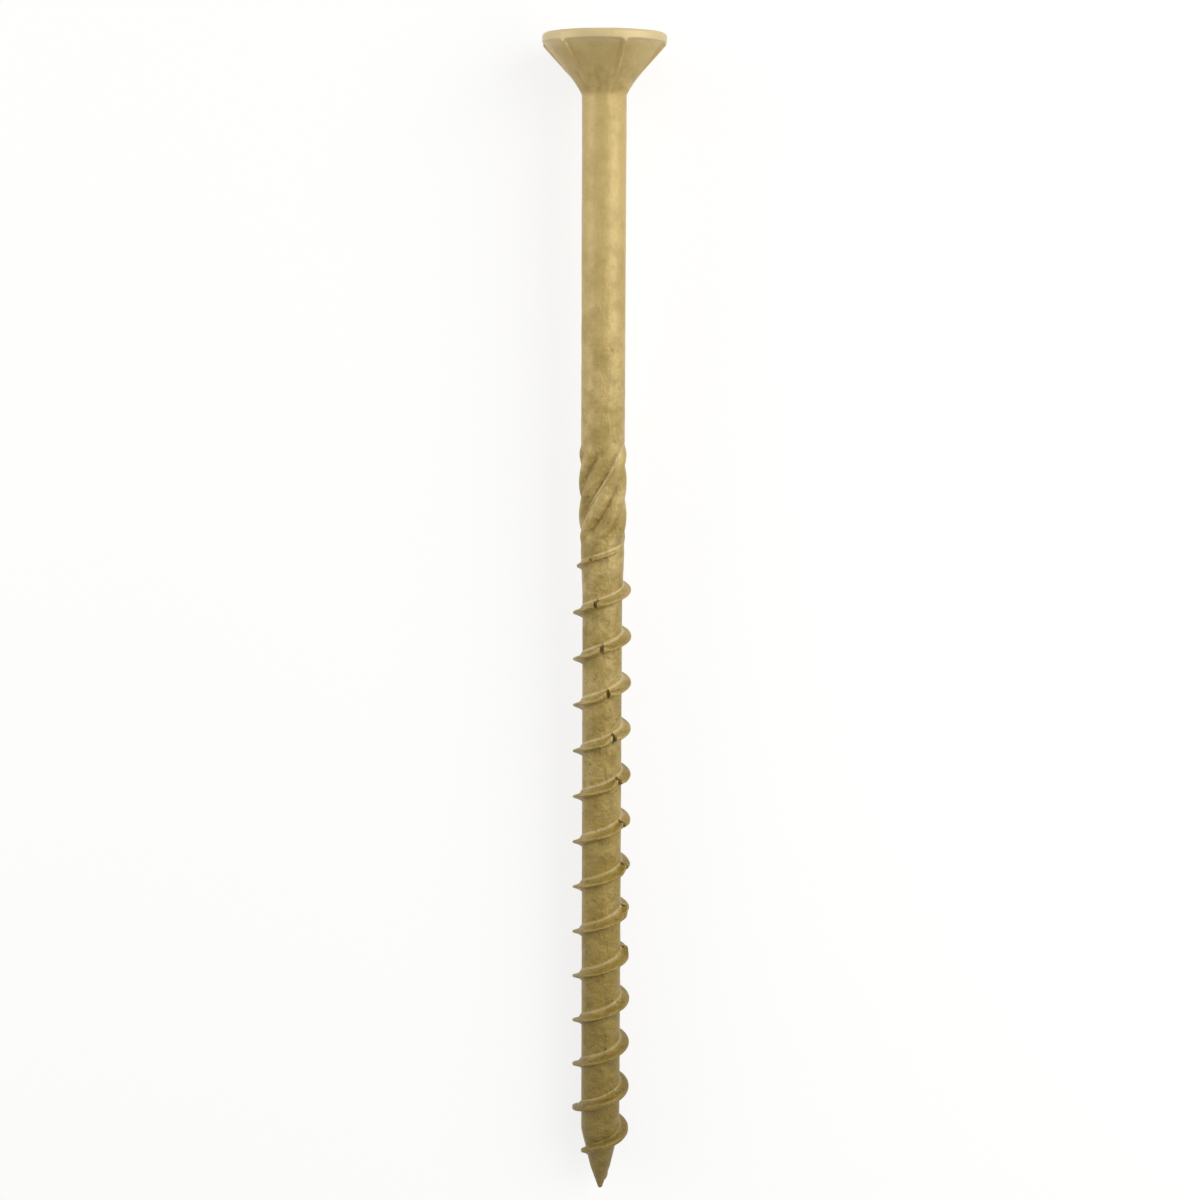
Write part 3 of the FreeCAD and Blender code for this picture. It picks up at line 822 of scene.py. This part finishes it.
class SCREW_OT_join(bpy.types.Operator):
    """Makes blank, cutter and thread one piece and lays it down"""
    bl_idname = "screw.join"
    bl_label = "Join and lay down"

    def execute(self, context):
        piece = bpy.data.objects["blank"]
        combine(piece, bpy.data.objects["shank_cutter"], "UNION")
        combine(piece, bpy.data.objects["thread"], "UNION")
        combine(piece, crevices(), "DIFFERENCE")
        piece.name = "screw_body"
        piece.data.name = "screw_body"
        lay_down(piece)
        roughen(piece)
        bpy.ops.object.shade_smooth_by_angle(angle=SMOOTH_ANGLE)
        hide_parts(NODE)
        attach(piece, "root")
        return {"FINISHED"}


# Coating


def put(tree, kind, inputs=None, **settings):
    """Adds a node, sets its settings, and fills its inputs with values or with links to outputs."""
    node = tree.nodes.new(kind)
    for name, value in settings.items():
        setattr(node, name, value)
    for name, value in (inputs or {}).items():
        if isinstance(value, bpy.types.NodeSocket):
            tree.links.new(value, node.inputs[name])
        else:
            node.inputs[name].default_value = value
    return node


def calculate(tree, operation, first, second=0.0):
    return put(tree, "ShaderNodeMath", {0: first, 1: second}, operation=operation).outputs[0]


def grade(tree, value, low, high, at_low=0.0, at_high=1.0):
    """Soft change from at_low to at_high while a value goes from low to high."""
    inputs = {"Value": value, "From Min": low, "From Max": high, "To Min": at_low, "To Max": at_high}
    return put(tree, "ShaderNodeMapRange", inputs, interpolation_type="SMOOTHSTEP").outputs[0]


def blend_colour(tree, share, first, second):
    return put(tree, "ShaderNodeMix", {0: share, 6: first, 7: second}, data_type="RGBA").outputs[2]


def noise(tree, vector, scale, detail=2.0, roughness=0.5):
    inputs = {"Vector": vector, "Scale": scale, "Detail": detail, "Roughness": roughness}
    return put(tree, "ShaderNodeTexNoise", inputs).outputs[0]


def new_group(name, inputs, outputs):
    """An empty node group with named inputs and outputs."""
    group = bpy.data.node_groups.new(name, "ShaderNodeTree")
    for label, kind in inputs:
        group.interface.new_socket(name=label, in_out="INPUT", socket_type=kind)
    for label, kind in outputs:
        group.interface.new_socket(name=label, in_out="OUTPUT", socket_type=kind)
    start = group.nodes.new("NodeGroupInput")
    end = group.nodes.new("NodeGroupOutput")
    return group, start, end


def use_group(tree, group, inputs):
    return put(tree, "ShaderNodeGroup", inputs, node_tree=group)


VALUE, VECTOR = "NodeSocketFloat", "NodeSocketVector"


def cloud_group():
    """Soft patches at two scales, from 0 to 1."""
    group, start, end = new_group(
        "clouding", (("Vector", VECTOR), ("Scale", VALUE), ("Sharpness", VALUE)), (("Share", VALUE),))
    broad = noise(group, start.outputs["Vector"], start.outputs["Scale"], 3.0, 0.55)
    low = calculate(group, "SUBTRACT", 0.5, start.outputs["Sharpness"])
    high = calculate(group, "ADD", 0.5, start.outputs["Sharpness"])
    group.links.new(grade(group, broad, low, high), end.inputs["Share"])
    return group


def streak_group():
    """Marks that run along the screw, from 0 to 1."""
    group, start, end = new_group(
        "drawn_streaks", (("Vector", VECTOR), ("Scale", VALUE), ("Stretch", VALUE)), (("Share", VALUE),))
    stretch = put(group, "ShaderNodeCombineXYZ", {0: 1.0, 1: start.outputs["Stretch"], 2: 1.0})
    drawn = put(
        group, "ShaderNodeVectorMath", {0: start.outputs["Vector"], 1: stretch.outputs[0]},
        operation="MULTIPLY")
    share = noise(group, drawn.outputs[0], start.outputs["Scale"], 4.0, 0.6)
    group.links.new(grade(group, share, 0.32, 0.68), end.inputs["Share"])
    return group


def hollow_shade_and_edge_group():
    """How hollow a place is, which darkens it as painted shade, and how sharp an edge it is, both from 0 to
    1.
    """
    group, start, end = new_group(
        "hollow_shade_and_edges", (("Hollow Size", VALUE), ("Edge Size", VALUE)),
        (("Hollow Shade", VALUE), ("Edge", VALUE)))
    # The hollow share is used as painted shade: places that little light reaches are darkened
    open_sky = put(
        group, "ShaderNodeAmbientOcclusion", {"Distance": start.outputs["Hollow Size"]}, samples=6)
    shut = calculate(group, "SUBTRACT", 1.0, open_sky.outputs["AO"])
    inner = put(
        group, "ShaderNodeAmbientOcclusion", {"Distance": start.outputs["Edge Size"]},
        samples=6, inside=True)
    thin = calculate(group, "SUBTRACT", 1.0, inner.outputs["AO"])
    group.links.new(grade(group, shut, 0.28, 0.85), end.inputs["Hollow Shade"])
    group.links.new(grade(group, thin, 0.45, 0.85), end.inputs["Edge"])
    return group


def pit_group():
    """Small pits and specks, 1 in their middles."""
    group, start, end = new_group(
        "pits", (("Vector", VECTOR), ("Scale", VALUE), ("Share of Cells", VALUE)), (("Pit", VALUE),))
    cells = put(
        group, "ShaderNodeTexVoronoi",
        {"Vector": start.outputs["Vector"], "Scale": start.outputs["Scale"]})
    chosen = put(group, "ShaderNodeSeparateColor", {0: cells.outputs["Color"]})
    picked = calculate(group, "LESS_THAN", chosen.outputs[0], start.outputs["Share of Cells"])
    middle = grade(group, cells.outputs["Distance"], 0.10, 0.32, 1.0, 0.0)
    group.links.new(calculate(group, "MULTIPLY", picked, middle), end.inputs["Pit"])
    return group


def from_head(distance):
    """Place along the lying screw, at a distance from the top of its head."""
    return NODE_BOX[1].y - distance


class SCREW_OT_coating(bpy.types.Operator):
    """Gives the screw its satin khaki-gold coating"""
    bl_idname = "screw.coating"
    bl_label = "Coating"

    def execute(self, context):
        look = sizes().screw_coating
        material = bpy.data.materials.new("khaki_gold_coating")
        material.use_nodes = True
        tree = material.node_tree
        shader = tree.nodes["Principled BSDF"]
        shader.inputs["Metallic"].default_value = look.metal
        shader.inputs["Coat Weight"].default_value = look.gloss_weight
        shader.inputs["Coat Roughness"].default_value = look.gloss_roughness
        place = put(tree, "ShaderNodeTexCoord").outputs["Object"]
        along = put(tree, "ShaderNodeSeparateXYZ", {0: place}).outputs["Y"]

        # Scales are marks per metre
        clouds, streaks, pits = cloud_group(), streak_group(), pit_group()
        patches = use_group(tree, clouds, {"Vector": place, "Scale": 380.0, "Sharpness": 0.16}).outputs[0]
        lumps = use_group(tree, clouds, {"Vector": place, "Scale": 950.0, "Sharpness": 0.30}).outputs[0]
        speckle = use_group(tree, clouds, {"Vector": place, "Scale": 2800.0, "Sharpness": 0.30}).outputs[0]
        drips = use_group(tree, streaks, {"Vector": place, "Scale": 1100.0, "Stretch": 0.28}).outputs[0]
        hairs = use_group(tree, streaks, {"Vector": place, "Scale": 5200.0, "Stretch": 0.08}).outputs[0]
        holes = use_group(tree, pits, {"Vector": place, "Scale": 1300.0, "Share of Cells": 0.13}).outputs[0]
        specks = use_group(tree, pits, {"Vector": place, "Scale": 1700.0, "Share of Cells": 0.07})
        specks = specks.outputs[0]
        form = use_group(tree, hollow_shade_and_edge_group(), {"Hollow Size": 1.1 * MM, "Edge Size": 0.35 * MM})

        # Painted shade: the colour darkens from the head towards the point, where less light falls
        painted_shade_to_point = grade(tree, along, from_head(look.painted_falloff_start), from_head(look.painted_falloff_full))
        # Painted shade: a further darkening towards the point, in the stain colour
        near_point = grade(tree, along, from_head(look.point_shade_start), from_head(look.point_shade_full))
        rough_part = grade(
            tree, along, from_head(look.smooth_end), from_head(look.rough_start), 0.20, 1.0)
        thick = calculate(tree, "MULTIPLY", patches, calculate(tree, "MULTIPLY", rough_part, 0.8))
        dark = calculate(tree, "MULTIPLY", grade(tree, lumps, 0.55, 0.0), rough_part)
        dirt = calculate(tree, "MULTIPLY", holes, rough_part)
        # Painted light and shade: lighter coating colour near the head, darker towards the point
        paint = blend_colour(tree, painted_shade_to_point, (*look.light, 1.0), (*look.deep, 1.0))
        # A darker streaked band round the neck and the lower end of the cone, in the pooled colour
        below = grade(tree, along, from_head(look.neck_mark_end), from_head(look.neck_mark_fade))
        above = grade(tree, along, from_head(look.neck_mark_start), from_head(look.neck_mark_full))
        neck = calculate(tree, "MULTIPLY", below, above)
        neck = calculate(tree, "MULTIPLY", calculate(tree, "MULTIPLY", neck, drips), 0.5)
        thick = calculate(tree, "MAXIMUM", thick, neck)
        paint = blend_colour(tree, thick, paint, (*look.pooled, 1.0))
        # Darkening in the stain colour: real lumps, speckle and pits, and painted shade towards the point
        # and in hollows
        stains_and_shade = (
            (near_point, 0.34), (dark, 0.28), (speckle, 0.10), (form.outputs["Hollow Shade"], 0.66), (dirt, 0.28),
        )
        for share, strength in stains_and_shade:
            share = calculate(tree, "MULTIPLY", share, strength)
            paint = blend_colour(tree, share, paint, (*look.stain_and_shade, 1.0))
        worn = grade(tree, along, from_head(look.wear_end), from_head(look.wear_start), 0.20, 0.60)
        worn = calculate(tree, "MULTIPLY", form.outputs["Edge"], worn)
        # Painted highlight: a lighter band on the rim of the head, joined to the worn edges
        rim = grade(tree, along, from_head(look.rim_highlight_end), from_head(look.rim_highlight))
        rim = calculate(tree, "MULTIPLY", rim, 0.7)
        worn = calculate(tree, "MAXIMUM", worn, rim)
        paint = blend_colour(tree, worn, paint, (*look.edge, 1.0))
        tree.links.new(paint, shader.inputs["Base Color"])

        dull = grade(tree, patches, 0.0, 1.0, look.roughness, look.roughness + 0.10)
        dull = calculate(tree, "ADD", dull, calculate(tree, "MULTIPLY", hairs, 0.06))
        tree.links.new(dull, shader.inputs["Roughness"])

        height = calculate(tree, "MULTIPLY", hairs, 0.012)
        heights = ((lumps, 0.14), (drips, 0.10), (speckle, 0.03), (holes, -0.06), (specks, 0.13))
        for share, strength in heights:
            height = calculate(tree, "ADD", height, calculate(tree, "MULTIPLY", share, strength))
        height = calculate(tree, "MULTIPLY", height, rough_part)
        bump = put(tree, "ShaderNodeBump", {"Height": height, "Distance": MM, "Strength": 1.0})
        tree.links.new(bump.outputs["Normal"], shader.inputs["Normal"])
        piece = bpy.data.objects["screw_body"]
        piece.data.materials.clear()
        piece.data.materials.append(material)
        return {"FINISHED"}


# Stage

FLOOR_WIDTH = 1.6
LAMP_TARGET = Vector((0.0, 0.03, 0.005))
LAMP_TINT = (1.0, 0.975, 0.92)

# Name, place, width, depth and power in watts
LAMPS = (
    ("left_softbox", Vector((-0.21, 0.06, 0.07)), 0.26, 0.14, 0.18),
    ("right_softbox", Vector((0.17, 0.06, 0.145)), 0.26, 0.20, 0.38),
)

# How far a look into the sky points towards the head, where the sky starts and ends to get brighter
SKY_START, SKY_END = -0.8, 0.9


def add_lamp(name, place, width, depth, power):
    """A soft area lamp that faces the screw."""
    deselect_all()
    bpy.ops.object.light_add(type="AREA", location=place)
    lamp = bpy.context.object
    lamp.name = name
    lamp.data.shape = "RECTANGLE"
    lamp.data.size = width
    lamp.data.size_y = depth
    lamp.data.energy = power
    lamp.data.color = LAMP_TINT
    lamp.rotation_euler = (LAMP_TARGET - place).to_track_quat("-Z", "Y").to_euler()


def seen_or_mirrored(tree):
    """Mask that is 1 where the camera looks, straight on, by a mirror or through glass."""
    path = put(tree, "ShaderNodeLightPath")
    seen = calculate(tree, "MAXIMUM", path.outputs["Is Camera Ray"], path.outputs["Is Glossy Ray"])
    return calculate(tree, "MAXIMUM", seen, path.outputs["Is Transmission Ray"])


def floor_material():
    """Floor that looks white, keeps the screw's soft shadow and lights the screw as matt white card."""
    look = sizes().screw_stage
    material = bpy.data.materials.new("white_floor")
    material.use_nodes = True
    tree = material.node_tree
    tree.nodes.clear()
    seen = seen_or_mirrored(tree)
    card = blend_colour(tree, seen, (*look.card, 1.0), (*look.shadow_part, 1.0))
    matt = put(tree, "ShaderNodeBsdfDiffuse", {"Color": card})
    strength = calculate(tree, "MULTIPLY", seen, look.floor_glow)
    glow = put(tree, "ShaderNodeEmission", {"Color": (1.0, 1.0, 1.0, 1.0), "Strength": strength})
    both = put(tree, "ShaderNodeAddShader", {0: matt.outputs[0], 1: glow.outputs[0]})
    output = put(tree, "ShaderNodeOutputMaterial")
    tree.links.new(both.outputs[0], output.inputs["Surface"])
    return material


def set_world():
    """White where it is seen or mirrored, and otherwise a soft sky that is brighter towards the head."""
    look = sizes().screw_stage
    world = bpy.data.worlds.new("studio")
    bpy.context.scene.world = world
    world.use_nodes = True
    tree = world.node_tree
    tree.nodes.clear()
    way = put(tree, "ShaderNodeTexCoord").outputs["Generated"]
    head_side = put(tree, "ShaderNodeSeparateXYZ", {0: way}).outputs["Y"]
    sky = grade(tree, head_side, SKY_START, SKY_END, look.sky_point, look.sky_head)
    seen = seen_or_mirrored(tree)
    shade = blend_colour(tree, seen, sky, (1.0, 1.0, 1.0, 1.0))
    background = put(tree, "ShaderNodeBackground", {"Color": shade})
    output = put(tree, "ShaderNodeOutputWorld")
    tree.links.new(background.outputs[0], output.inputs["Surface"])


def add_camera(place):
    """A camera above the screw that leans a little towards the head, as in the photograph."""
    look = sizes().screw_stage
    head_way = (place.to_3x3() @ Vector((0.0, 0.0, -1.0))).normalized()
    upward = (place.to_3x3() @ Vector((0.0, 1.0, 0.0))).normalized()
    right = (place.to_3x3() @ Vector((1.0, 0.0, 0.0))).normalized()
    back = upward * math.cos(look.camera_lean) + head_way * math.sin(look.camera_lean)
    top = head_way * math.cos(look.camera_lean) - upward * math.sin(look.camera_lean)
    roll = look.camera_roll
    rolled_right = right * math.cos(roll) + top * math.sin(roll)
    rolled_top = top * math.cos(roll) - right * math.sin(roll)
    middle = place @ Vector((0.0, 0.0, look.aim))
    stand = middle - rolled_right * look.aside + back * look.camera_distance
    deselect_all()
    bpy.ops.object.camera_add(location=stand)
    camera = bpy.context.object
    camera.name = "camera"
    axes = Matrix((rolled_right, rolled_top, back)).transposed()
    camera.matrix_world = Matrix.Translation(stand) @ axes.to_4x4()
    camera.data.lens = look.lens
    camera.data.sensor_width = 36.0
    camera.data.clip_start = 0.01
    camera.data.clip_end = 10.0
    bpy.context.scene.camera = camera


class SCREW_OT_stage(bpy.types.Operator):
    """Adds floor, lamps, world and camera"""
    bl_idname = "screw.stage"
    bl_label = "Stage"

    def execute(self, context):
        deselect_all()
        bpy.ops.mesh.primitive_plane_add(size=FLOOR_WIDTH)
        floor = bpy.context.object
        floor.name = "floor"
        floor.data.materials.append(floor_material())
        set_world()
        for name, place, width, depth, power in LAMPS:
            add_lamp(name, place, width, depth, power * sizes().screw_stage.lamp_power)
        bpy.context.scene.view_settings.view_transform = "Standard"
        add_camera(resting_place())
        return {"FINISHED"}


class SCREW_PT_panel(bpy.types.Panel):
    """Lists the steps in the sidebar"""
    bl_label = "Countersunk screw"
    bl_idname = "SCREW_PT_panel"
    bl_space_type = "VIEW_3D"
    bl_region_type = "UI"
    bl_category = "Screw"

    def draw(self, context):
        for step in STEPS:
            self.layout.operator(step)


GROUPS = {
    "screw_blank": BlankSizes,
    "screw_head_cuts": HeadCutSizes,
    "screw_cutter": CutterSizes,
    "screw_thread": ThreadSizes,
    "screw_coating": CoatingLook,
    "screw_stage": StageLook,
}
OPERATORS = (
    SCREW_OT_blank, SCREW_OT_head_cuts, SCREW_OT_cutter, SCREW_OT_thread, SCREW_OT_join,
    SCREW_OT_coating, SCREW_OT_stage,
)
STEPS = [operator.bl_idname for operator in OPERATORS]


def register():
    for name, group in GROUPS.items():
        bpy.utils.register_class(group)
        setattr(bpy.types.Scene, name, bpy.props.PointerProperty(type=group))
    for operator in OPERATORS:
        bpy.utils.register_class(operator)
    bpy.utils.register_class(SCREW_PT_panel)


def unregister():
    bpy.utils.unregister_class(SCREW_PT_panel)
    for operator in reversed(OPERATORS):
        bpy.utils.unregister_class(operator)
    for name, group in GROUPS.items():
        delattr(bpy.types.Scene, name)
        bpy.utils.unregister_class(group)


def main():
    register()
    bpy.ops.screw.blank()
    bpy.ops.screw.head_cuts()
    bpy.ops.screw.cutter()
    bpy.ops.screw.thread()
    bpy.ops.screw.join()
    bpy.ops.screw.coating()
    bpy.ops.screw.stage()


if __name__ == "__main__":
    main()
